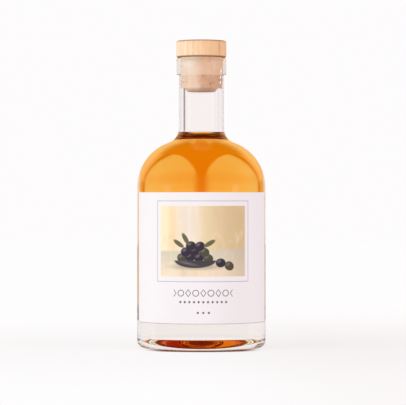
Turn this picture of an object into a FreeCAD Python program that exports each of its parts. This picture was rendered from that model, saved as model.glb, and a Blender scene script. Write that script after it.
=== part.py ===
import FreeCAD, Part
import math
import os

# Verjuice bottle: a clear bar-top bottle of about 375 ml, with a round shoulder, a straight neck and a
# thick punted base, its drink, a cork stopper with a wooden head, and a paper label wrapped round the
# front.  Millimetres, +Z up.  The origin is the centre of the ring that the bottle stands on, and the
# middle of the label faces -Y.

# Glass, outside
body_radius = 38.0         # straight side of the body
glass_height = 171.4       # standing surface to the top of the lip
shoulder_start = 94.8      # top of the straight side
shoulder_radius = 28.0     # convex round of the shoulder, in profile
neck_root_radius = 7.0     # hollow round from the shoulder into the neck, in profile
neck_wall = 3.6            # glass between the bore and the outside of the neck
lip_step = 1.3             # how far the lip stands out of the neck
lip_height = 10.2
lip_round = 1.6            # outer top edge of the lip
lip_under_round = 0.6      # outer lower edge of the lip
heel_radius = 4.5          # edge between the side and the base

# Glass, inside
bore_radius = 9.9          # straight bore of the neck, which the cork fills
side_wall = 3.0            # glass of the side and the shoulder
floor_height = 16.2        # inner floor above the standing surface
floor_round = 9.0          # hollow round between the inner floor and the side
mouth_round = 0.7          # inner edge of the mouth

# Punt: the hollow pressed up into the base, inside the ring that the bottle stands on
stand_width = 3.2          # width of that ring, inside the heel
punt_side_rise = 5.2       # height of the straight slope round the punt
punt_side_angle = 32.0     # degrees from level
punt_round = 4.0           # between that slope and the crown
punt_crown_angle = 6.0     # degrees from level, where the domed crown begins

# Drink
fill_drop = 43.8           # top of the lip down to the level of the drink

# Stopper
head_radius = 14.8
head_height = 10.0
head_round = 1.2           # both edges of the wooden head
cork_length = 20.2         # below the top of the lip
cork_chamfer = 2.0         # lower edge of the cork

# Label
label_width = 101.6        # along the curve
label_thickness = 0.15
label_above_base = 15.6    # standing surface to the lower edge
label_below_shoulder = 3.0  # upper edge to the top of the straight side

# Worked out from the sizes above
neck_radius = bore_radius + neck_wall
lip_radius = neck_radius + lip_step
stand_radius = body_radius - heel_radius
punt_radius = stand_radius - stand_width
fill_level = glass_height - fill_drop

ORIGIN = FreeCAD.Vector(0, 0, 0)
UP = FreeCAD.Vector(0, 0, 1)


def at(radius, height):
    """A point of a half section, which is drawn in the XZ plane."""
    return FreeCAD.Vector(radius, 0, height)


class HalfSection:
    """Half the section of a round piece, drawn as lines and arcs from its first point."""

    def __init__(self, first):
        self.first = self.last = first
        self.edges = []

    def line(self, end):
        self.edges.append(Part.makeLine(self.last, end))
        self.last = end

    def arc(self, centre, end):
        """An arc of less than half a turn about the centre."""
        spoke = self.last - centre
        middle = centre + (spoke + end - centre).normalize() * spoke.Length
        self.edges.append(Part.Arc(self.last, middle, end).toShape())
        self.last = end

    def rounded(self, corner, radius, toward):
        """A line up to a corner, rounded off, that turns toward the next point."""
        back = (self.last - corner).normalize()
        ahead = (toward - corner).normalize()
        half_angle = back.getAngle(ahead) / 2
        run = radius / math.tan(half_angle)
        self.line(corner + back * run)
        centre = corner + (back + ahead).normalize() * (radius / math.sin(half_angle))
        self.arc(centre, corner + ahead * run)

    def revolve(self, angle=360):
        self.line(self.first)
        return Part.Face(Part.Wire(self.edges)).revolve(ORIGIN, UP, angle)


def draw_shoulder(section, wall, neck, root):
    """The tangent shoulder and neck-root arcs, from the side at its present point up to the neck.

    wall is how far the curve lies inside the outer shoulder, neck the radius it ends on and root the
    radius of its hollow round.
    """
    convex = shoulder_radius - wall
    centre = at(body_radius - shoulder_radius, shoulder_start)
    across = neck + root - centre.x
    rise = math.sqrt((convex + root) ** 2 - across ** 2)
    root_centre = centre + FreeCAD.Vector(across, 0, rise)
    section.arc(centre, centre + (root_centre - centre).normalize() * convex)
    section.arc(root_centre, at(neck, root_centre.z))


def start_at_punt():
    """A section that begins with the punt: its crown, the round and the slope down to the ring."""
    side = math.radians(punt_side_angle)
    crown = math.radians(punt_crown_angle)
    slope_top = at(punt_radius - punt_side_rise / math.tan(side), punt_side_rise)
    round_centre = slope_top - at(math.sin(side), math.cos(side)) * punt_round
    crown_edge = round_centre + at(math.sin(crown), math.cos(crown)) * punt_round
    crown_radius = crown_edge.x / math.sin(crown)
    crown_centre = at(0, crown_edge.z - crown_radius * math.cos(crown))
    section = HalfSection(crown_centre + UP * crown_radius)
    section.arc(crown_centre, crown_edge)
    section.arc(round_centre, slope_top)
    section.line(at(punt_radius, 0))
    return section


def make_outside():
    """The solid that the glass would be without its inside: punt, heel, side, shoulder, neck and lip."""
    lip_bottom = glass_height - lip_height
    section = start_at_punt()
    section.rounded(at(body_radius, 0), heel_radius, at(body_radius, shoulder_start))
    section.line(at(body_radius, shoulder_start))
    draw_shoulder(section, 0, neck_radius, neck_root_radius)
    section.line(at(neck_radius, lip_bottom))
    section.rounded(at(lip_radius, lip_bottom), lip_under_round, at(lip_radius, glass_height))
    section.rounded(at(lip_radius, glass_height), lip_round, at(0, glass_height))
    section.line(at(0, glass_height))
    return section.revolve()


def make_cavity():
    """The space inside the glass, from the floor up to the open mouth."""
    inner_radius = body_radius - side_wall
    mouth_radius = bore_radius + mouth_round
    section = HalfSection(at(0, floor_height))
    section.rounded(at(inner_radius, floor_height), floor_round, at(inner_radius, shoulder_start))
    section.line(at(inner_radius, shoulder_start))
    draw_shoulder(section, side_wall, bore_radius, neck_root_radius + neck_wall)
    section.line(at(bore_radius, glass_height - mouth_round))
    section.arc(at(mouth_radius, glass_height - mouth_round), at(mouth_radius, glass_height))
    section.line(at(0, glass_height))
    return section.revolve()


def make_bottle():
    return make_outside().cut(make_cavity())


def make_verjuice():
    """The drink fills the cavity up to its level, face to face with the glass."""
    below_level = Part.makeCylinder(body_radius, fill_level)
    return make_cavity().common(below_level)


def make_stopper_head():
    """The turned wooden head, which rests on the lip."""
    disc = Part.makeCylinder(head_radius, head_height, at(0, glass_height))
    rims = [edge for edge in disc.Edges if edge.Closed]
    return disc.makeFillet(head_round, rims)


def make_stopper_cork():
    """The cork fills the bore from the head down and ends in a chamfer."""
    bottom = glass_height - cork_length
    shank = Part.makeCylinder(bore_radius, cork_length, at(0, bottom))
    lower_rim = [edge for edge in shank.Edges if edge.Closed and edge.CenterOfMass.z < bottom + 0.1]
    return shank.makeChamfer(cork_chamfer, lower_rim)


def make_label():
    """The paper lies on the straight side and is centred on the front."""
    bottom = label_above_base
    top = shoulder_start - label_below_shoulder
    outer = body_radius + label_thickness
    section = HalfSection(at(body_radius, bottom))
    section.line(at(outer, bottom))
    section.line(at(outer, top))
    section.line(at(body_radius, top))
    wrap = math.degrees(label_width / body_radius)
    label = section.revolve(wrap)
    label.rotate(ORIGIN, UP, -90 - wrap / 2)
    return label


def write(node, shape):
    """Check one sub-part, print its size and write it to its own file."""
    if not (shape.isValid() and len(shape.Solids) == 1):
        raise ValueError(node + " is not one valid solid")
    solid = shape.Solids[0]
    box = solid.optimalBoundingBox(False)
    print(f"{node:13s} {solid.Volume / 1000:8.2f} ml   z {box.ZMin:7.2f} to {box.ZMax:7.2f}"
          f"   {box.XLength:6.2f} x {box.YLength:6.2f}")
    solid.exportStep(f"parts/{node}.step")


os.makedirs("parts", exist_ok=True)
write("bottle", make_bottle())
write("verjuice", make_verjuice())
write("stopper_head", make_stopper_head())
write("stopper_cork", make_stopper_cork())
write("label", make_label())
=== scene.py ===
# %% [markdown]
# # A bottle of verjuice
# A clear bar-top bottle holds an amber drink under a cork with a wooden head, and a paper label is
# wrapped round its front.  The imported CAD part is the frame: it says where each piece is and how large,
# in metres, with +Z up and the label facing -Y.  This notebook dresses it, one piece at a time.

# %% Load the frame
import math

import bmesh
import bpy
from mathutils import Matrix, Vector, noise


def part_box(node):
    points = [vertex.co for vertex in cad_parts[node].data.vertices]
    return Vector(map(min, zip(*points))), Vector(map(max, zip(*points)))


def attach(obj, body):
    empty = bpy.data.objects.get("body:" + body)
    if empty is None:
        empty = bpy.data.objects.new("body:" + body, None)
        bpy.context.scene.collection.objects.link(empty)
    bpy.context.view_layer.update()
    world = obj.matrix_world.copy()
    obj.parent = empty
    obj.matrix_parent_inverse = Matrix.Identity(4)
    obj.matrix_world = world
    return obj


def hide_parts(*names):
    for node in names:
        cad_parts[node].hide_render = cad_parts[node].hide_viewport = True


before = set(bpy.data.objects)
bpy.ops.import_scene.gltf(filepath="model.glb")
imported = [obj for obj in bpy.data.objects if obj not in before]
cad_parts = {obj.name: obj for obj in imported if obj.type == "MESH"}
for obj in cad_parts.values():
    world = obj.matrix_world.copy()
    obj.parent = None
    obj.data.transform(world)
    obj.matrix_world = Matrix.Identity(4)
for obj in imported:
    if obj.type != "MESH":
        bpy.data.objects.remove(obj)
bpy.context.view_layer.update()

MM = 0.001
print("pieces of the frame:", sorted(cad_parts))

# %% [markdown]
# ## Sizes
# Every piece of the bottle is round, so the box round a piece gives its radius and its two heights.  The
# sizes could be typed in again, but read from the frame they follow the CAD part when it changes.

# %% Read the sizes from the frame
def radius_and_heights(node):
    """Half the width of a round piece, and the heights of its bottom and top."""
    low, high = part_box(node)
    return high.x, low.z, high.z

body_radius, _, glass_height = radius_and_heights("bottle")
inner_radius, floor_height, fill_level = radius_and_heights("verjuice")
bore_radius, cork_bottom, _ = radius_and_heights("stopper_cork")
head_radius, _, head_top = radius_and_heights("stopper_head")
_, label_bottom, label_top = radius_and_heights("label")
print(f"glass {glass_height / MM:.1f} mm tall and {2 * body_radius / MM:.1f} mm across")
print(f"drink up to {fill_level / MM:.1f} mm, cork down to {cork_bottom / MM:.1f} mm")

# %% [markdown]
# ## A lathe
# Glass, drink, cork and wooden head are all surfaces of revolution.  A Screw modifier would turn a curve
# too.  Here bmesh spins half a section about the Z axis, because the mesh is then there at once, to be
# cut or measured, and because the arcs of the section are spins as well, of its tip about a centre.

# %% Draw half sections and turn them
class HalfSection:
    """Half the section of a round piece: chains of edges in the XZ plane."""

    def __init__(self):
        self.mesh = bmesh.new()

    def start(self, radius, height):
        """Begin a chain at a point."""
        self.tip = self.mesh.verts.new((radius, 0, height))

    def line(self, radius, height):
        """A straight edge to a new point."""
        made = bmesh.ops.extrude_vert_indiv(self.mesh, verts=[self.tip])
        self.tip = made["verts"][0]
        self.tip.co = (radius, 0, height)

    def side(self, radius, height, margin=0.4 * MM):
        """A straight run with a point close to each end, so that smooth shading stays at its ends."""
        start = self.tip.co.copy()
        end = Vector((radius, 0, height))
        step = (end - start).normalized() * margin
        for point in (start + step, end - step, end):
            self.line(point.x, point.z)

    def arc(self, centre_radius, centre_height, turn, steps):
        """A round run about a centre: turn is in degrees, positive from +X towards +Z."""
        made = bmesh.ops.spin(self.mesh, geom=[self.tip], cent=(centre_radius, 0, centre_height),
                              axis=(0, 1, 0), angle=-math.radians(turn), steps=steps)
        self.tip = next(item for item in made["geom_last"] if isinstance(item, bmesh.types.BMVert))

    def shoulder(self, inset, neck, root, steps=24):
        """The tangent arcs of the shoulder and the neck root, from the side up to the neck.

        inset is how far the curve lies inside the outer shoulder, neck the radius it ends on and root
        the radius of its hollow round.
        """
        convex = shoulder_radius - inset
        centre = body_radius - shoulder_radius
        lean = math.degrees(math.acos((neck + root - centre) / (convex + root)))
        self.arc(centre, shoulder_start, lean, steps)
        rise = (convex + root) * math.sin(math.radians(lean))
        self.arc(neck + root, shoulder_start + rise, -lean, steps // 2)

    def stop_at(self, height):
        """Cut off what is above a height, and leave the tip there."""
        mesh = self.mesh
        bmesh.ops.bisect_plane(mesh, geom=mesh.verts[:] + mesh.edges[:], plane_co=(0, 0, height),
                               plane_no=(0, 0, 1), clear_outer=True)
        self.tip = max(mesh.verts, key=lambda vert: vert.co.z)

    def turned(self, name, steps=160):
        """The closed round mesh that the section sweeps, as an object."""
        mesh = self.mesh
        bmesh.ops.spin(mesh, geom=mesh.verts[:] + mesh.edges[:], cent=(0, 0, 0), axis=(0, 0, 1),
                       angle=2 * math.pi, steps=steps, use_merge=True)
        bmesh.ops.remove_doubles(mesh, verts=mesh.verts, dist=0.001 * MM)
        return as_object(name, mesh)


# %% [markdown]
# A bmesh is only a mesh in memory.  It becomes a piece of the scene when its faces look outwards, its
# points are written to an object, and the object is told which part of the frame it dresses.

# %% From mesh to piece
def as_object(name, mesh):
    """A smooth-shaded object from a bmesh, its faces turned outwards."""
    bmesh.ops.recalc_face_normals(mesh, faces=mesh.faces)
    for face in mesh.faces:
        face.smooth = True
    data = bpy.data.meshes.new(name)
    mesh.to_mesh(data)
    mesh.free()
    piece = bpy.data.objects.new(name, data)
    bpy.context.scene.collection.objects.link(piece)
    print(f"{name}: {len(data.vertices)} points, {len(data.polygons)} faces")
    return piece


def dress(piece, material, slot, *nodes):
    """Give a piece its finish, make it ride with the bottle and stand in for its CAD nodes."""
    piece.data.materials.append(material)
    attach(piece, "root")
    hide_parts(*nodes)


def looks_inward(face):
    """Whether a face is turned to the axis of the bottle."""
    return face.center.xy.dot(face.normal.xy) < 0


def paint_faces(piece, material, chosen):
    """Give some faces of a piece a second finish."""
    piece.data.materials.append(material)
    faces = [face for face in piece.data.polygons if chosen(face)]
    for face in faces:
        face.material_index = 1
    print(f"{material.name}: {len(faces)} faces")

# %% [markdown]
# ## Shader maths
# A finish can be a picture wrapped round the piece, or a formula in the shader.  A formula stays sharp at
# any distance and needs no file.  Written node by node it would be hard to read, so a small class wraps
# a socket and gives it Python's operators: each one adds one Math node.

# %% Sockets that can be reckoned with
class Field:
    """A shader socket that Python's operators work on: each operator adds one Math node."""

    def __init__(self, nodes, socket):
        self.nodes = nodes
        self.socket = socket

    def math(self, operation, *others):
        inputs = dict(enumerate((self, *others)))
        return self.nodes.field("Math", {"operation": operation}, inputs)

    def __add__(self, other):
        return self.math("ADD", other)

    def __sub__(self, other):
        return self.math("SUBTRACT", other)

    def __rsub__(self, other):
        return self.math("MULTIPLY_ADD", -1, other)

    def __mul__(self, other):
        return self.math("MULTIPLY", other)

    def __truediv__(self, other):
        return self.math("DIVIDE", other)

    def __neg__(self):
        return self.math("MULTIPLY", -1)

    def __pow__(self, other):
        return self.math("POWER", other)

    def __abs__(self):
        return self.math("ABSOLUTE")

    __radd__ = __add__
    __rmul__ = __mul__


# %% [markdown]
# A material and the world are both trees of nodes.  One method makes a node of any type: first its
# settings, then the values or the links of its sockets.  Colours are mixed by a Mix node, because a Math
# node would turn them grey.

# %% Node trees
class Nodes:
    """A node tree being made, node by node."""

    def __init__(self, owner):
        owner.use_nodes = True
        self.owner = owner
        self.tree = owner.node_tree
        self.tree.nodes.clear()

    def add(self, kind, settings=None, inputs=None):
        """One node of any type: its settings first, then the values or links of its sockets."""
        node = self.tree.nodes.new("ShaderNode" + kind)
        for name, value in (settings or {}).items():
            if name == "stops":
                self.set_stops(node.color_ramp, value)
            else:
                setattr(node, name, value)
        for name, value in (inputs or {}).items():
            if isinstance(value, (Field, bpy.types.NodeSocket)):
                source = value.socket if isinstance(value, Field) else value
                self.tree.links.new(source, node.inputs[name])
            else:
                node.inputs[name].default_value = value
        return node

    @staticmethod
    def set_stops(ramp, stops):
        while len(ramp.elements) < len(stops):
            ramp.elements.new(0.5)
        for element, (position, colour) in zip(ramp.elements, stops):
            element.position = position
            element.color = (*colour, 1)

    def field(self, kind, settings=None, inputs=None):
        """The same, but gives its first output, to reckon with."""
        return Field(self, self.add(kind, settings, inputs).outputs[0])

    def mix(self, factor, first, second):
        """A colour that goes from the first to the second as the factor goes from 0 to 1."""
        first, second = ((*c, 1) if isinstance(c, tuple) else c for c in (first, second))
        node = self.add("Mix", {"data_type": "RGBA"}, {0: factor, 6: first, 7: second})
        return node.outputs[2]

    def ramp(self, value, low, high):
        """0 at the low value, 1 at the high one, and smooth between.  It falls if low is above high."""
        return self.field("MapRange", {"interpolation_type": "SMOOTHSTEP"}, {0: value, 1: low, 2: high})

    def axes(self, vector):
        """The x, y and z of a vector."""
        parts = self.add("SeparateXYZ", inputs={0: vector})
        return [Field(self, socket) for socket in parts.outputs]


# %% [markdown]
# A finish is such a tree in a material.  It reads Object coordinates, which are metres from the origin of
# the bottle, so that a pattern has its true size and keeps its place on the piece.

# %% Materials
class Finish(Nodes):
    """A material being made."""

    def __init__(self, name):
        super().__init__(bpy.data.materials.new(name))

    def place(self):
        """Where a point is on its piece, in metres."""
        return self.add("TexCoord").outputs["Object"]

    def surface(self, shader, volume=None):
        """The finished material, from the shader of its surface and that of its inside."""
        inputs = {"Surface": shader}
        if volume:
            inputs["Volume"] = volume
        self.add("OutputMaterial", inputs=inputs)
        print(f"{self.owner.name}: {len(self.tree.nodes)} nodes")
        return self.owner


# %% [markdown]
# Lamps don't reach what is inside glass, unless the renderer traces caustics, which takes long and leaves
# bright specks.  The usual way out is to let shadow rays pass: the glass still bends and mirrors all that
# the camera sees, but light falls through it as if it weren't there.

# %% Clear to shadow rays
def lets_light_through(finish, shader):
    """The shader as it is, but clear to shadow rays, so that what is inside or behind is lit."""
    path = finish.add("LightPath")
    clear = finish.add("BsdfTransparent")
    both = finish.add("MixShader", inputs={0: path.outputs["Is Shadow Ray"], 1: shader, 2: clear.outputs[0]})
    return both.outputs[0]

# %% [markdown]
# ## The glass
# The bottle is blown in a mould and pressed up from below: a punt, a heel, a straight side, a round
# shoulder, a hollow neck root, a neck and a lip.  One outline with a Solidify modifier would make a wall
# of one thickness.  Real glass is thick in the base and follows another curve inside, so the section
# here runs from the punt over the outside to the mouth, and from the mouth down the inside to the floor.

# %% The rounds of the glass
shoulder_start = label_top + 3 * MM
shoulder_radius = 28 * MM
side_wall = body_radius - inner_radius
neck_wall = 3.6 * MM
neck_radius = bore_radius + neck_wall
neck_root = 8.5 * MM
lip_radius = neck_radius + 1.3 * MM
lip_bottom = glass_height - 10.2 * MM
lip_round = 1.6 * MM
lip_under_round = 0.6 * MM
mouth_radius = bore_radius + 0.7 * MM
heel = 4.5 * MM
floor_round = 9 * MM
stand_radius = body_radius - heel
punt_radius = stand_radius - 3.2 * MM
punt_side_rise = 5.2 * MM
punt_side_angle = 32
punt_round = 4 * MM
punt_crown_angle = 6
print(f"side {side_wall / MM:.1f} mm thick, base {floor_height / MM:.1f} mm")

# %% Turn the bottle
def draw_punt(section):
    """From the standing ring up the slope, over the round and the domed crown to the middle."""
    side, crown = math.radians(punt_side_angle), math.radians(punt_crown_angle)
    section.start(punt_radius, 0)
    top = punt_radius - punt_side_rise / math.tan(side)
    section.side(top, punt_side_rise, 0.1 * MM)
    section.arc(top - punt_round * math.sin(side), punt_side_rise - punt_round * math.cos(side),
                punt_side_angle - punt_crown_angle, 10)
    edge = section.tip.co
    section.arc(0, edge.z - edge.x / math.tan(crown), punt_crown_angle, 16)


def draw_outside(section):
    """From the punt over the standing ring, the heel, the side and the shoulder to the lip and the mouth."""
    section.start(punt_radius, 0)
    section.side(stand_radius, 0, 0.2 * MM)
    section.arc(stand_radius, heel, 90, 16)
    section.side(body_radius, shoulder_start)
    section.shoulder(0, neck_radius, neck_root)
    section.side(neck_radius, lip_bottom)
    section.side(lip_radius - lip_under_round, lip_bottom, 0.1 * MM)
    section.arc(lip_radius - lip_under_round, lip_bottom + lip_under_round, 90, 6)
    section.side(lip_radius, glass_height - lip_round)
    section.arc(lip_radius - lip_round, glass_height - lip_round, 90, 10)
    section.side(mouth_radius, glass_height, 0.1 * MM)


def draw_inside(section, deeper=0.0):
    """The wall of the cavity, from the middle of its floor up to the mouth, or a line so much deeper."""
    section.start(0, floor_height - deeper)
    section.side(inner_radius - floor_round, floor_height - deeper)
    section.arc(inner_radius - floor_round, floor_height + floor_round, 90, 16)
    section.side(inner_radius + deeper, shoulder_start)
    section.shoulder(side_wall - deeper, bore_radius + deeper, neck_root + neck_wall - deeper)
    rim = mouth_radius - bore_radius
    section.side(bore_radius + deeper, glass_height - rim)
    section.arc(mouth_radius, glass_height - rim, -90, 6)


glass_section = HalfSection()
draw_punt(glass_section)
draw_outside(glass_section)
draw_inside(glass_section)
glass = glass_section.turned("bottle_glass")

# %% [markdown]
# Flint glass has no colour of its own: what shows is the world behind it, bent at each wall.  A thin
# transparent sheet wouldn't bend it, so this is a solid of glass with its true index of refraction.
# Where the drink wets the inner wall, the step in the index is small, so almost nothing is mirrored.

# %% Clear glass
def clear_glass(name, gloss):
    """Flint glass.  gloss is its share of mirror reflection: a wetted wall has almost none."""
    finish = Finish(name)
    glass_shader = finish.add("BsdfPrincipled", inputs={
        "Base Color": (1, 1, 1, 1), "Roughness": 0.0, "IOR": 1.5, "Transmission Weight": 1.0,
        "Specular Tint": (gloss, gloss, gloss, 1)})
    return finish.surface(lets_light_through(finish, glass_shader.outputs[0]))


def is_wet(face):
    """Whether a face is on the inner wall or floor of the glass and under the level of the drink."""
    is_middle_of_floor = face.center.xy.length < 20 * MM
    is_under_level = floor_height - 0.01 * MM < face.center.z < fill_level
    return is_under_level and (looks_inward(face) or is_middle_of_floor)


dress(glass, clear_glass("clear glass", 1), "clear_glass", "bottle")
paint_faces(glass, clear_glass("wet glass", 0.1), is_wet)

# %% [markdown]
# ## The drink
# The drink fills the glass with no air between.  Two surfaces in one place would flicker and two a hair
# apart would show that hair as a silver skin, so the drink is the shape of the cavity, grown a quarter of
# a millimetre into the wall.  Its top is drawn up at the wall: the meniscus of a real liquid.

# %% Fill the bottle
into_wall = 0.25 * MM
wall_level = fill_level - 0.6 * MM
meniscus_height = 1.8 * MM
meniscus_width = 6 * MM
meniscus_bend = 2.2 * MM
meniscus_steps = 16

drink_section = HalfSection()
draw_inside(drink_section, into_wall)
drink_section.stop_at(wall_level)
rim_radius = drink_section.tip.co.x
for step in range(1, meniscus_steps + 1):
    inward = meniscus_width * (step / meniscus_steps) ** 2
    fall = meniscus_height * (1 - math.exp(-inward / meniscus_bend))
    drink_section.line(rim_radius - inward, wall_level - fall)
drink_section.side(0, drink_section.tip.co.z, 0.1 * MM)
drink = drink_section.turned("verjuice_drink")

# %% [markdown]
# A coloured surface would look like paint.  The colour of a drink is in its depth: light loses blue and
# some green along its way, so it is pale at the rim and deep in the middle.  Volume absorption does that.

# %% Amber liquid
amber = (1.0, 0.72, 0.0, 1)
strength = 46.0

def amber_drink():
    """Clear liquid with colour in its depth.  Its own surface mirrors little, as glass lies close to it."""
    finish = Finish("amber drink")
    liquid = finish.add("BsdfPrincipled", inputs={
        "Base Color": (1, 1, 1, 1), "Roughness": 0.0, "IOR": 1.34, "Transmission Weight": 1.0,
        "Specular Tint": (0.1, 0.1, 0.1, 1)})
    tint = finish.add("VolumeAbsorption", inputs={"Color": amber, "Density": strength})
    return finish.surface(lets_light_through(finish, liquid.outputs[0]), tint.outputs[0])

dress(drink, amber_drink(), "verjuice", "verjuice")

# %% [markdown]
# ## The cork
# The shank of the stopper is squeezed into the bore, so it wets the glass like the drink does and shows
# through it enlarged.  In some places it doesn't touch, and there the wall mirrors like silver.  A bump
# in the shader can't open such a gap, so the cork is a fine grid that is drawn back where one is listed.

# %% Turn the cork
cork_chamfer = 2 * MM
cork_radius = bore_radius + 0.15 * MM
side_bottom = cork_bottom + cork_chamfer
fine = 0.25 * MM

cork_section = HalfSection()
cork_section.start(0, cork_bottom)
cork_section.side(bore_radius - cork_chamfer, cork_bottom)
cork_section.side(cork_radius, side_bottom)
for row in range(1, int((glass_height - side_bottom) / fine) + 1):
    cork_section.line(cork_radius, side_bottom + row * fine)
cork_section.side(0, glass_height - 0.01 * MM)
cork = cork_section.turned("cork_shank", steps=480)

# %% [markdown]
# A gap is an oval on the side of the cork.  It is listed by its bearing from the front in degrees, its
# height over the cork's lower end in millimetres, and half its width and height in the same units.  Two
# tall ones lie at the sides, the others are small.  A noise makes their edges ragged.

# %% Draw the cork back from the glass in places
gaps = [(-99, 13.8, 18, 40), (99, 13.8, 18, 40),
        (70, 12.1, 4, 1.4), (71, 8.6, 4, 1.5), (70, 5.6, 4, 1.2),
        (-69, 7.0, 3, 0.5), (-66, 5.4, 3, 0.5), (-72, 8.4, 3, 0.4),
        (150, 8.8, 12, 1.4), (-120, 5.8, 9, 1.1), (115, 10.8, 7, 1.0)]
gap_depth = 0.3 * MM
gap_grain = 0.7 * MM

def is_in_gap(point):
    """Whether a point on the side of the cork lies in one of the gaps."""
    bearing = math.degrees(math.atan2(point.x, -point.y))
    height = (point.z - cork_bottom) / MM
    reach = min(((bearing - middle) / width) ** 2 + ((height - level) / rise) ** 2
                for middle, level, width, rise in gaps)
    return reach < 1 + noise.noise(point / gap_grain)


side_points = [vertex for vertex in cork.data.vertices if vertex.co.xy.length > bore_radius]
drawn_back = [vertex for vertex in side_points if is_in_gap(vertex.co)]
for vertex in drawn_back:
    vertex.co.xy *= 1 - gap_depth / vertex.co.xy.length
print(f"cork: {len(drawn_back)} of {len(side_points)} points of its side drawn back")

# %% [markdown]
# Cork is bark: pale grains, darker patches and brown pores.  Three noises of different sizes make them.
# Behind the lip the plug is painted paler than below, as it shows lighter through the lip; below it has a
# brown knot.  Its right side is painted darker, as shade away from the lamp at the left, and its lower end
# is darker too.

# %% Natural cork
paler_from = cork_bottom + 9.9 * MM
knot_height = cork_bottom + 9 * MM

def natural_cork():
    """A paler part behind the lip and a darker one below, as painted light, each with a painted lit left side
    and a painted shaded right side, and what the noises add to them.
    """
    finish = Finish("natural cork")
    place = finish.place()
    grain = finish.field("TexNoise", {}, {"Vector": place, "Scale": 420.0, "Detail": 5.0, "Roughness": 0.6})
    patch = finish.field("TexNoise", {}, {"Vector": place, "Scale": 110.0, "Detail": 3.0})
    pores = finish.field("TexNoise", {}, {"Vector": place, "Scale": 260.0, "Detail": 2.0})
    x, _, z = finish.axes(place)
    # painted light: the plug shows paler behind the lip than below it
    lit_behind_lip = finish.ramp(z, paler_from - 0.5 * MM, paler_from + 0.5 * MM)
    # pale is the painted lit side at the left, dark the painted shade at the right
    pale = finish.mix(lit_behind_lip, (1.0, 0.74, 0.57), (1.0, 0.87, 0.73))
    dark = finish.mix(lit_behind_lip, (0.78, 0.46, 0.29), (0.95, 0.64, 0.45))
    colour = finish.mix(finish.ramp(x + patch * (3 * MM), -2.2 * MM, 2.4 * MM), pale, dark)
    colour = finish.mix(finish.ramp(grain, 0.35, 0.75) * 0.3, colour, (0.99, 0.83, 0.66))
    colour = finish.mix(finish.ramp(patch, 0.45, 0.7) * 0.3, colour, (0.8, 0.46, 0.28))
    knot = ((x - 0.3 * MM) ** 2 + (z - knot_height) ** 2).math("SQRT")
    colour = finish.mix(finish.ramp(knot, 1.3 * MM, 0.3 * MM) * 0.45, colour, (0.5, 0.26, 0.15))
    low = finish.ramp(z, cork_bottom + 1.6 * MM, cork_bottom + 0.3 * MM)
    colour = finish.mix(low * 0.6, colour, (0.66, 0.33, 0.16))
    colour = finish.mix(finish.ramp(pores, 0.62, 0.72) * 0.7, colour, (0.45, 0.22, 0.12))
    bump = finish.add("Bump", inputs={"Height": grain, "Strength": 0.35, "Distance": 0.3 * MM})
    shader = finish.add("BsdfPrincipled", inputs={"Base Color": colour, "Roughness": 0.8,
                                                  "Normal": bump.outputs[0]})
    return finish.surface(shader.outputs[0])

dress(cork, natural_cork(), "cork", "stopper_cork")

# %% [markdown]
# ## The wooden head
# A turned disc with two eased edges sits on the lip.  A cylinder with a Bevel modifier would do as well,
# but the lathe is there already.

# %% Turn the wooden head
head_round = 1.2 * MM

head_section = HalfSection()
head_section.start(0, glass_height)
head_section.side(head_radius - head_round, glass_height)
head_section.arc(head_radius - head_round, glass_height + head_round, 90, 8)
head_section.side(head_radius, head_top - head_round)
head_section.arc(head_radius - head_round, head_top - head_round, 90, 8)
head_section.side(0, head_top)
head = head_section.turned("wooden_head", steps=128)

# %% [markdown]
# The fibres of the disc stand upright: the growth rings, circles round a far axis, are stripes on its
# side and arcs on its top.  One sum, the distance to that axis, gives both.  The left side is painted
# paler, as lit by the lamp there, and the two eased edges are painted darker as shade, the lower one
# most, where the head sits on the lip.

# %% Turned wood
ring_pitch = 2.2 * MM
ring_axis = (-50 * MM, -30 * MM)

def upright_grain(finish):
    """Where a point is, but with heights shrunk, which draws a noise out along the fibres."""
    shrink = finish.add("VectorMath", {"operation": "MULTIPLY"}, {0: finish.place(), 1: (1.0, 1.0, 0.12)})
    return shrink.outputs[0]


def shaded_edges(finish, x, y, z):
    """Painted shade: 1 on the two round edges of the head, and 1 at the lower of them only, where it sits on
    the lip.
    """
    half_height = (head_top - glass_height) / 2
    level = abs(z - glass_height - half_height)
    edge = finish.ramp(level, half_height - 1.3 * MM, half_height - 0.2 * MM)
    reach = (x ** 2 + y ** 2).math("SQRT")
    outer = finish.ramp(reach, head_radius - 2 * MM, head_radius - 1 * MM)
    lower = finish.ramp(z, glass_height + 1.2 * MM, glass_height + 0.8 * MM)
    return edge * outer, lower


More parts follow.
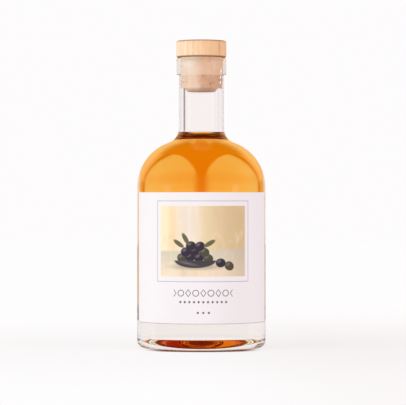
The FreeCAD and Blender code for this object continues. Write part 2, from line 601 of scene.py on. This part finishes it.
def turned_wood():
    """Pale wood with rings, fine fibres and a few flecks, painted lighter at the left and with painted shade
    on its edges.
    """
    finish = Finish("turned wood")
    x, y, z = finish.axes(finish.place())
    grain = upright_grain(finish)
    wander = finish.field("TexNoise", {}, {"Vector": grain, "Scale": 120.0, "Detail": 2.0})
    fibre = finish.field("TexNoise", {}, {"Vector": grain, "Scale": 1300.0, "Detail": 3.0})
    fleck = finish.field("TexNoise", {}, {"Vector": grain, "Scale": 420.0, "Detail": 1.0})
    axis_reach = ((x - ring_axis[0]) ** 2 + (y - ring_axis[1]) ** 2).math("SQRT")
    ring = axis_reach / ring_pitch + wander * 1.6
    ring = finish.ramp(abs((ring * math.pi).math("SINE")), 0.1, 1.0)
    # painted light: paler at the left, towards the key lamp
    lit_left = finish.ramp(x + wander * (4 * MM), 10 * MM, -13 * MM)
    colour = finish.mix(lit_left, (0.9, 0.59, 0.33), (0.99, 0.84, 0.62))
    colour = finish.mix(ring * 0.4, colour, (0.9, 0.56, 0.3))
    colour = finish.mix(finish.ramp(fibre, 0.4, 0.62) * 0.4, colour, (0.82, 0.5, 0.26))
    colour = finish.mix(finish.ramp(fleck, 0.62, 0.72) * 0.4, colour, (0.62, 0.32, 0.14))
    # painted shade on both eased edges, most on the lower one, where the head sits on the lip
    edge, lower = shaded_edges(finish, x, y, z)
    brown = finish.mix(lower, (0.42, 0.17, 0.07), (0.3, 0.09, 0.03))
    colour = finish.mix(edge * (0.8 + lower * 0.15), colour, brown)
    bump = finish.add("Bump", inputs={"Height": fibre, "Strength": 0.25, "Distance": 0.1 * MM})
    shader = finish.add("BsdfPrincipled", inputs={"Base Color": colour, "Roughness": 0.55,
                                                  "Normal": bump.outputs[0]})
    return finish.surface(shader.outputs[0])

dress(head, turned_wood(), "pale_wood", "stopper_head")

# %% [markdown]
# ## The label
# One sheet of paper goes round the front.  A Shrinkwrap modifier would lay it on the glass, but the side
# is a plain cylinder, so a thin upright strip spun about the axis is exact.  The points close to its
# upper and lower edges keep the shading of the sheet even.

# %% Wrap the paper
label_radius = -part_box("label")[0].y
label_half_wrap = math.asin(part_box("label")[1].x / label_radius)

def wrap_label():
    """A sheet bent round the glass, its back a hair inside the wall, as glued paper has no air under it."""
    mesh = bmesh.new()
    back, front = body_radius - 0.05 * MM, label_radius
    near = 0.15 * MM
    corners = [(back, label_bottom), (front, label_bottom), (front, label_bottom + near),
               (front, label_top - near), (front, label_top), (back, label_top)]
    sine, cosine = math.sin(label_half_wrap), math.cos(label_half_wrap)
    strip = mesh.faces.new([mesh.verts.new((-radius * sine, -radius * cosine, height))
                            for radius, height in corners])
    bmesh.ops.spin(mesh, geom=[strip], cent=(0, 0, 0), axis=(0, 0, 1),
                   angle=2 * label_half_wrap, steps=96)
    return mesh


label = as_object("paper_label", wrap_label())
for face in label.data.polygons:
    face.use_smooth = abs(face.normal.z) < 0.5


# %% [markdown]
# The print is drawn on the sheet as a designer would, in millimetres from its middle and its lower edge.
# It could be an image, but that blurs close by.  Here each shape is a number from 0 to 1 that tells how
# much ink lies there, and a colour is mixed in by it.

# %% Ink on paper
class Print(Finish):
    """Ink on the label, drawn in millimetres: u along the curve from the middle, v up from the lower edge."""

    def __init__(self, name):
        super().__init__(name)
        x, y, z = self.axes(self.place())
        self.u = x.math("ARCTAN2", -y) * (label_radius / MM)
        self.v = (z - label_bottom) / MM

    def near(self, value, low, high, soft=0.12):
        """1 between the low and the high value, 0 outside them."""
        return self.ramp(value, low - soft, low + soft) * self.ramp(value, high + soft, high - soft)

    def box(self, left, right, bottom, top, soft=0.12):
        """1 inside an upright rectangle."""
        return self.near(self.u, left, right, soft) * self.near(self.v, bottom, top, soft)

    def oval(self, u, v, width, height, lean=0.0, soft=0.25):
        """1 inside an oval, given by its middle, its width and its height, and leaning by so many degrees."""
        cosine, sine = math.cos(math.radians(lean)), math.sin(math.radians(lean))
        across, up = self.u - u, self.v - v
        along = (across * cosine + up * sine) / (width / 2)
        over = (up * cosine - across * sine) / (height / 2)
        reach = (along ** 2 + over ** 2).math("SQRT")
        edge = 2 * soft / min(width, height)
        return self.ramp(reach, 1 + edge, 1 - edge)

# %% [markdown]
# The picture is a still life of broad soft fields: a drape, a wall, a table, and a bowl of plums.

# %% Picture
plums = [(-12.5, 38.2), (-7.6, 38.8), (-2.4, 38.4), (2.8, 38.0), (-10.2, 41.8), (-4.9, 42.3), (0.6, 41.6),
         (-7.2, 45.3), (-2.1, 45.0), (15.5, 33.6), (10.2, 35.4)]
leaves = [(-14.5, 46.5, -35), (-10.4, 49.3, -60), (3.6, 46.6, 30)]
plum_blue, plum_olive = (0.045, 0.035, 0.055), (0.09, 0.085, 0.05)

def paint_room(paper):
    """The wall, the drape and the table, with brush strokes."""
    upright = paper.add("VectorMath", {"operation": "MULTIPLY"}, {0: paper.place(), 1: (1, 1, 0.35)})
    brush = paper.field("TexNoise", {}, {"Vector": upright.outputs[0], "Scale": 160.0, "Detail": 4.0,
                                         "Roughness": 0.6})
    wall = paper.mix(paper.ramp(paper.u + brush * 8, -24, 30), (0.97, 0.86, 0.57), (0.7, 0.52, 0.28))
    wall = paper.mix(paper.near(paper.u + brush * 3, -19, -14, 2.0) * 0.7, wall, (0.93, 0.7, 0.42))
    drape = paper.near(paper.u + brush * 3 - 1.5, -15, -2, 2.5)
    wall = paper.mix(drape * 0.85, wall, (0.86, 0.76, 0.63))
    fold = paper.near(paper.u + brush * 2 - 1, -9.5, -7, 1.6) * 0.5
    wall = paper.mix(fold, wall, (0.92, 0.86, 0.78))
    table = paper.ramp(paper.v + brush * 1.2 - paper.u * 0.03, 44.5, 42.5)
    cloth = paper.mix(paper.ramp(paper.v + brush * 4, 30, 44), (0.88, 0.74, 0.53), (0.7, 0.64, 0.49))
    cloth = paper.mix(paper.ramp(paper.u + brush * 6, 10, 28) * 0.6, cloth, (0.6, 0.5, 0.36))
    room = paper.mix(table, wall, cloth)
    room = paper.mix(paper.ramp(brush, 0.5, 0.7) * 0.35, room, (0.99, 0.88, 0.68))
    return paper.mix(paper.ramp(brush, 0.45, 0.3) * 0.3, room, (0.66, 0.5, 0.3))


def paint_fruit(paper, picture):
    """The shade on the table, the plums with their shine, the leaves and the bowl."""
    shade = paper.oval(-4, 33.2, 27, 3.4, 0, 1.2)
    picture = paper.mix(shade * 0.6, picture, (0.28, 0.24, 0.2))
    for place, (u, v) in enumerate(plums):
        ink = plum_blue if place % 3 else plum_olive
        picture = paper.mix(paper.oval(u, v, 6.0, 5.2, 25 * (place % 3 - 1)), picture, ink)
        shine = paper.oval(u - 0.9, v + 1.0, 2.4, 1.5, 30, 0.6)
        picture = paper.mix(shine * 0.45, picture, (0.3, 0.28, 0.33))
    for u, v, lean in leaves:
        picture = paper.mix(paper.oval(u, v, 7.5, 2.6, lean), picture, (0.16, 0.15, 0.06))
    bowl = paper.oval(-4.8, 37.2, 25, 9.5) * paper.ramp(paper.v, 37.0, 36.6)
    picture = paper.mix(bowl, picture, (0.075, 0.065, 0.07))
    shine = paper.oval(-9.5, 35.2, 9, 1.2, -12, 0.6)
    return paper.mix(shine * 0.4, picture, (0.34, 0.32, 0.34))

# %% [markdown]
# Under the picture there is no text, only rows of plain shapes: a distance that repeats, by the Math
# node's Wrap, draws a whole row at the cost of one shape.

# %% Frame and rows of shapes
dark_ink = (0.16, 0.14, 0.16)
pitch, small_pitch, dot_pitch = 4.4, 2.7, 3.2
row_height, small_row_height, dot_height = 17.95, 12.8, 6.6

def print_row(paper, colour, ink, half_width):
    """Ink in a row as far as its ends."""
    return paper.mix(ink * paper.near(abs(paper.u), -1, half_width), colour, dark_ink)


def print_rows(paper, colour):
    """Rings and lozenges in turn, a row of small lozenges and three dots."""
    across = paper.u.math("WRAP", pitch / 2, -pitch / 2)
    over = abs(paper.v - row_height)
    ring = abs((across ** 2 + over ** 2).math("SQRT") - 1.75)
    lozenge = abs(abs(across) / 1.5 + over / 2.0 - 1)
    turn = (paper.u + pitch / 2).math("WRAP", 2 * pitch, 0)
    big = paper.ramp(ring, 0.32, 0.12) * paper.ramp(turn, pitch - 0.1, pitch + 0.1)
    big = big + paper.ramp(lozenge, 0.24, 0.08) * paper.ramp(turn, pitch + 0.1, pitch - 0.1)
    colour = print_row(paper, colour, big, 17.6)

    across = paper.u.math("WRAP", small_pitch / 2, -small_pitch / 2)
    lozenge = abs(across) / 0.8 + abs(paper.v - small_row_height) / 0.85
    colour = print_row(paper, colour, paper.ramp(lozenge, 1.2, 0.8), 14.85)

    across = paper.u.math("WRAP", dot_pitch / 2, -dot_pitch / 2)
    dot = (across ** 2 + (paper.v - dot_height) ** 2).math("SQRT")
    return print_row(paper, colour, paper.ramp(dot, 0.8, 0.5), 4.8)


def print_frame(paper, colour):
    """A thin line round the picture."""
    line = paper.box(-29.1, 29.1, 24.4, 71.3, 0.1) - paper.box(-28.8, 28.8, 24.7, 71.0, 0.1)
    return paper.mix(line * 0.85, colour, (0.3, 0.24, 0.33))

# %% [markdown]
# The sheet itself is uncoated: white with faint fibres that also roughen it a little.  A grey line of
# painted shade runs along its lower edge and its sides.

# %% Printed paper
half_sheet = label_half_wrap * label_radius / MM

def printed_paper():
    """White paper with all of its print, and painted shade along its lower edge and sides."""
    paper = Print("printed paper")
    fibre = paper.field("TexNoise", {}, {"Vector": paper.place(), "Scale": 900.0, "Detail": 4.0})
    cloud = paper.field("TexNoise", {}, {"Vector": paper.place(), "Scale": 60.0, "Detail": 3.0})
    white = paper.mix(fibre, (0.87, 0.855, 0.87), (0.895, 0.885, 0.89))
    picture = paint_fruit(paper, paint_room(paper))
    colour = paper.mix(paper.box(-26.4, 26.4, 27.5, 68.3, 0.15), white, picture)
    colour = print_rows(paper, print_frame(paper, colour))
    # painted shade: a grey line along the lower edge and the two sides of the sheet
    edge = paper.ramp(paper.v, 0.5, 0.2) + paper.ramp(abs(paper.u), half_sheet - 0.9, half_sheet - 0.5)
    colour = paper.mix(edge.math("MINIMUM", 1) * 0.75, colour, (0.4, 0.33, 0.31))
    bump = paper.add("Bump", inputs={"Height": fibre, "Strength": 0.15, "Distance": 0.1 * MM})
    roughness = 0.62 + cloud * 0.1
    shader = paper.add("BsdfPrincipled", inputs={"Base Color": colour, "Roughness": roughness,
                                                 "Normal": bump.outputs[0]})
    return paper.surface(shader.outputs[0])

dress(label, printed_paper(), "label_paper", "label")

# %% [markdown]
# From behind, the back of the sheet shows through glass and drink.  It is plain paper, so the faces that
# look inwards get a finish of their own.

# %% Plain back
def plain_paper():
    """The same paper without print."""
    paper = Finish("plain paper")
    fibre = paper.field("TexNoise", {}, {"Vector": paper.place(), "Scale": 900.0, "Detail": 4.0})
    white = paper.mix(fibre, (0.84, 0.83, 0.82), (0.88, 0.87, 0.86))
    shader = paper.add("BsdfPrincipled", inputs={"Base Color": white, "Roughness": 0.75})
    return paper.surface(shader.outputs[0])


paint_faces(label, plain_paper(), looks_inward)

# %% [markdown]
# ## The stage
# The bottle stands on pale paper that runs into a white background.  A lit floor is never quite white and
# shows its horizon.  So to the camera, and to what is seen through glass, the floor mostly glows in its
# own pale colour, and only near the bottle does it take the light, and so keeps a soft shadow.  Its glow
# is painted greyer to the right of the bottle, as shade away from the lamp at the left.  What the drink
# would throw on the paper, an amber caustic, isn't traced, nor is the shadow where the foot stands: both
# are painted, as a dark brown tint under the bottle and a narrow brown line of painted shadow in front
# of its foot.

# %% White floor
half_floor = 3.0

floor_mesh = bmesh.new()
bmesh.ops.create_grid(floor_mesh, x_segments=1, y_segments=1, size=half_floor)
floor = as_object("floor", floor_mesh)

def floor_glow(finish, camera, through, diffuse):
    """The colour that the paper glows in, with its painted shade and shadows, and how much of a ray sees that
    glow.
    """
    x, y, _ = finish.axes(finish.place())
    reach = (x ** 2 + y ** 2).math("SQRT")
    # painted shade: the glow greys to the right of the bottle and towards the front
    shade_to_right = finish.ramp(x, -20 * MM, 80 * MM) * finish.ramp(y, 600 * MM, 50 * MM)
    shade = finish.mix(shade_to_right, (0.995, 0.985, 0.985), (0.96, 0.935, 0.93))
    shade = finish.mix(diffuse, shade, (0.97, 0.91, 0.925))
    # painted shadow: dark brown under the bottle, to rays that come through glass
    under = through * finish.ramp(reach, body_radius + 2 * MM, body_radius - 4 * MM)
    shade = finish.mix(under, shade, (0.17, 0.055, 0.04))
    # painted contact shadow: a narrow brown line on the paper in front of the foot
    in_front = finish.ramp(y, -10 * MM, -22 * MM) * finish.ramp(abs(x), 36 * MM, 22 * MM)
    foot_shadow = camera * in_front * finish.ramp(reach, body_radius + 9.5 * MM, body_radius + 3.8 * MM)
    shade = finish.mix(foot_shadow, shade, (0.14, 0.032, 0.016))
    away = finish.ramp(reach, 60 * MM, 350 * MM)
    share = (camera + through) * (0.82 + 0.18 * away) + diffuse + foot_shadow * 0.12
    return shade, share


def white_paper():
    """Pale paper.  The gloss of the glass doesn't show it in front, and through glass it ends near by."""
    finish = Finish("white floor")
    path = finish.add("LightPath")
    camera, glossy, through, diffuse = (Field(finish, path.outputs[f"Is {kind} Ray"])
                                        for kind in ("Camera", "Glossy", "Transmission", "Diffuse"))
    shade, share = floor_glow(finish, camera, through, diffuse)
    lit = finish.add("BsdfPrincipled", inputs={"Base Color": (0.93, 0.92, 0.92, 1), "Roughness": 0.8})
    glow = finish.add("Emission", inputs={"Color": shade, "Strength": 1.0})
    paper = finish.add("MixShader", inputs={0: share, 1: lit.outputs[0], 2: glow.outputs[0]})
    x, y, _ = finish.axes(finish.place())
    in_front = glossy * finish.ramp(y, 0.0, -40 * MM)
    dark = finish.add("Emission", inputs={"Color": (0.05, 0.03, 0.03, 1), "Strength": 1.0})
    paper = finish.add("MixShader", inputs={0: in_front, 1: paper.outputs[0], 2: dark.outputs[0]})
    far = through * finish.ramp((x ** 2 + y ** 2).math("SQRT"), 60 * MM, 120 * MM)
    clear = finish.add("BsdfTransparent")
    paper = finish.add("MixShader", inputs={0: far, 1: paper.outputs[0], 2: clear.outputs[0]})
    return finish.surface(paper.outputs[0])

floor.data.materials.append(white_paper())

# %% [markdown]
# Through the thick base one sees what lies close behind the bottle.  A low ring of pale paper stands
# there.  Only rays that come through glass meet it, so it doesn't show in the picture.

# %% Low rim of paper
ring_radius = 70 * MM
ring_bottom, ring_top = 0.5 * MM, 16 * MM

ring_section = HalfSection()
ring_section.start(ring_radius, ring_bottom)
ring_section.line(ring_radius, ring_top)
ring = ring_section.turned("paper_rim", steps=64)

def rim_paper():
    """A pale glow for rays that come through glass, clear to all others."""
    finish = Finish("paper rim")
    path = finish.add("LightPath")
    glow = finish.add("Emission", inputs={"Color": (0.91, 0.845, 0.815, 1), "Strength": 1.0})
    clear = finish.add("BsdfTransparent")
    both = finish.add("MixShader", inputs={0: path.outputs["Is Transmission Ray"], 1: clear.outputs[0],
                                           2: glow.outputs[0]})
    return finish.surface(both.outputs[0])

ring.data.materials.append(rim_paper())

# %% [markdown]
# ## The studio
# Glass shows its surroundings, so they are built with care.  They could be cards of white and black
# round the bottle.  Here they are painted on the world by direction: the bearing from the line of view
# and the height over the horizon, both in degrees.  A full bottle is a strong lens that turns the view
# upside down, so a form low behind the bottle shows high in the shoulder.

# %% Directions round the bottle
view_turn = 1.75
radian = math.degrees(1)

class Studio(Nodes):
    """The world being made, with the direction of a ray at hand."""

    def __init__(self):
        super().__init__(bpy.data.worlds.new("studio"))
        self.across, self.away, up = self.axes(self.add("TexCoord").outputs["Generated"])
        self.bearing = self.across.math("ARCTAN2", self.away) * radian - view_turn
        self.side = abs(self.bearing)
        self.height = up.math("ARCSINE") * radian

    def oval_reach(self, width, height):
        """1 on an oval round the middle of the horizon, less inside it."""
        return ((self.side / width) ** 2 + (self.height / height) ** 2).math("SQRT")

# %% [markdown]
# Through the drink shows the paper behind the bottle.  Two tall windows of white stand on it, side by
# side, with the amber shadow of the bottle between them and a thin shadow line round both.

# %% What the glass shows low behind the bottle
amber_shadow = (0.88, 0.49, 0.0)
shadow_line = [(0.85, (1.0, 1.0, 1.0)), (0.93, (1.0, 0.86, 0.6)), (0.985, (0.76, 0.41, 0.0)),
               (1.035, (0.78, 0.43, 0.0)), (1.09, (0.97, 0.68, 0.15)), (1.15, (1.0, 0.73, 0.35)),
               (1.21, (1.0, 0.82, 0.7)), (1.32, (1.0, 1.0, 1.0))]

def round_windows(studio, reach):
    """White, with the shadow line where the reach is about 1."""
    farthest = 1.5
    stops = [(place / farthest, colour) for place, colour in shadow_line]
    return studio.add("ValToRGB", {"stops": stops}, {0: reach / farthest}).outputs[0]


def between_windows(studio):
    """1 in the bottle's own shadow: narrow near the horizon, and lower down wider and wider."""
    drop = (-studio.height - 7).math("MAXIMUM", 0)
    half_width = drop ** 1.5 * 0.19 + (drop / 13.2) ** 8 * 3 + 2.4
    soft = studio.ramp(studio.height, -8, -3) * 1.2 + 1
    shadow = studio.ramp(studio.side - half_width, soft, -soft)
    return shadow * studio.ramp(studio.oval_reach(32, 38), 1.22, 0.8)


def behind_low(studio):
    """Under the horizon: the windows, warmer near the horizon, and the shadow with two paler spots."""
    side, height = studio.side, studio.height
    reach = studio.oval_reach(40.3, 23.8)
    warmer = studio.ramp(abs(height + 5), 4, 1) * studio.ramp(reach, 1.0, 0.9)
    paper = studio.mix(warmer * 0.5, round_windows(studio, reach), (1.0, 0.8, 0.5))
    spot = studio.ramp(abs(side - 5), 2.2, 0.6) * studio.ramp(abs(height + 33), 6, 3)
    return studio.mix(between_windows(studio) * (1 - spot * 0.45), paper, amber_shadow)

# %% [markdown]
# Over the horizon the glass shows white, and then a warm dark ceiling.  The neck is seen straight through:
# only a dark gap at its left and a faint one at its right draw its edges.

# %% What the glass shows high behind the bottle
gap_bearing = 62

def behind_high(studio):
    """The white, and the ceiling, which the base and the neck root show: redder at the right in front, with
    a pale window at the left."""
    bearing, height = studio.bearing, studio.height
    white = studio.mix(studio.ramp(height, 0.6, 1.6), (1.0, 1.0, 1.0), (0.98, 0.905, 0.895))
    redder = studio.ramp(abs(bearing - 130), 50, 20)
    ceiling = studio.mix(redder, (0.14, 0.018, 0.01), (0.35, 0.06, 0.03))
    window = studio.ramp(abs(bearing + 125), 50, 20) * studio.ramp(height, 65, 45)
    return white, studio.mix(window, ceiling, (0.82, 0.85, 0.9))


def behind_glass(studio):
    """All that rays through the glass see, from the paper up to the ceiling."""
    bearing, height = studio.bearing, studio.height
    below = studio.ramp(height, 1.2, 0.2)
    white, ceiling = behind_high(studio)
    seen = studio.mix(below, white, behind_low(studio))
    left_gap = studio.ramp(abs(bearing + gap_bearing), 14, 8)
    right_gap = studio.ramp(abs(bearing - gap_bearing), 14, 8)
    dark = (left_gap * 0.9 + right_gap * 0.1) * (1 - below * 0.8)
    seen = studio.mix(dark, seen, (0.12, 0.1, 0.1))
    return studio.mix(studio.ramp(height, 24, 38), seen, ceiling)

# %% [markdown]
# Gloss is the other half of glass.  The room in front is dark, so that no veil lies over the drink.  Two
# tall boxes at the sides give the neck its narrow lights, and the pale surroundings behind the bottle
# are mirrored where the glass turns away: warm over the shoulder, white along the sides.

# %% What the gloss mirrors
def gloss_of_room(studio):
    """The dark room, the two boxes, and the pale and warm surroundings behind the bottle."""
    side, height, away = studio.side, studio.height, studio.away
    box = studio.ramp(abs(side - 117), 9, 4) * studio.ramp(height, 9, 2) * studio.ramp(height, -40, -20)
    gloss = studio.mix(box, (0.01, 0.01, 0.01), (0.9, 0.9, 0.9))
    white = studio.ramp(away, 0.77, 0.9) * studio.ramp(height, 30, 12)
    gloss = studio.mix(white, gloss, (1.0, 1.0, 1.0))
    warm = studio.ramp(away, 0.35, 0.6) * studio.ramp(height, 3.5, 8) * studio.ramp(height, 45, 25)
    return studio.mix(warm, gloss, (1.0, 0.5, 0.18))

# %% [markdown]
# The Light Path node tells what kind of ray asks, so one world can be a plain background to the camera,
# a soft light on paper and wood, and a set of cards to the glass.

# %% Light the studio
def light_studio():
    """The world as each kind of ray sees it."""
    studio = Studio()
    bpy.context.scene.world = studio.owner
    path = studio.add("LightPath")
    is_through = path.outputs["Is Transmission Ray"]
    soft_light = studio.mix(studio.ramp(studio.across, -0.9, 0.5), (0.71, 0.73, 0.73), (0.6, 0.525, 0.53))
    colour = studio.mix(path.outputs["Is Glossy Ray"], soft_light, gloss_of_room(studio))
    colour = studio.mix(is_through, colour, behind_glass(studio))
    inner = studio.mix(is_through, soft_light, (1.0, 0.97, 0.95))
    colour = studio.mix(studio.ramp(path.outputs["Diffuse Depth"], 0.4, 0.6), colour, inner)
    colour = studio.mix(path.outputs["Is Camera Ray"], colour, (0.99, 0.975, 0.98))
    light = studio.add("Background", inputs={"Color": colour, "Strength": 1.0})
    studio.add("OutputWorld", inputs={"Surface": light.outputs[0]})
    print("studio:", len(studio.tree.nodes), "nodes")

light_studio()

# %% [markdown]
# Two large soft lamps shape the label and the stopper: the cooler one at the left is a little stronger.
# They are kept out of the glass, where their plain shapes would show.

# %% Lamps
lamp_width, lamp_height = 0.9, 1.2
aim = Vector((0, 0, 90 * MM))

def add_lamp(name, energy, colour, place):
    """A soft lamp, pointed at the bottle and seen neither in gloss nor through glass."""
    data = bpy.data.lights.new(name, "AREA")
    data.shape = "RECTANGLE"
    data.size = lamp_width
    data.size_y = lamp_height
    data.energy = energy
    data.color = colour
    lamp = bpy.data.objects.new(name, data)
    bpy.context.scene.collection.objects.link(lamp)
    lamp.visible_glossy = False
    lamp.visible_transmission = False
    lamp.location = place
    lamp.rotation_euler = (aim - lamp.location).to_track_quat("-Z", "Y").to_euler()
    print(f"{name}: {energy} W from {place}")

add_lamp("key", 12, (1.0, 0.985, 0.99), (-1.4, -0.8, 0.75))
add_lamp("fill", 9, (1.0, 0.9, 0.92), (1.4, -0.95, 0.6))

# %% [markdown]
# ## The camera
# A product picture is taken from far off with a long lens, level with the middle of the bottle, so that
# its sides stay upright.  The picture is moved by shifting the lens and not by tilting the camera.

# %% Camera
distance = 1.44
eye_height = 89 * MM
scene_width = 240.31 * MM
turn = math.radians(view_turn)

camera_data = bpy.data.cameras.new("camera")
camera = bpy.data.objects.new("camera", camera_data)
bpy.context.scene.collection.objects.link(camera)
camera.location = (-distance * math.sin(turn), -distance * math.cos(turn), eye_height)
camera.rotation_euler = (math.radians(90), 0, -turn)
camera_data.sensor_width = 36
camera_data.lens = camera_data.sensor_width * distance / scene_width
camera_data.shift_x = 0.0041
camera_data.shift_y = -0.0135
bpy.context.scene.camera = camera
bpy.context.scene.view_settings.view_transform = "Standard"

# light passes many walls of glass and drink before it is through
glass_bounces = 24
bpy.context.scene.cycles.max_bounces = glass_bounces
bpy.context.scene.cycles.transmission_bounces = glass_bounces
print(f"lens {camera_data.lens:.0f} mm at {distance} m")
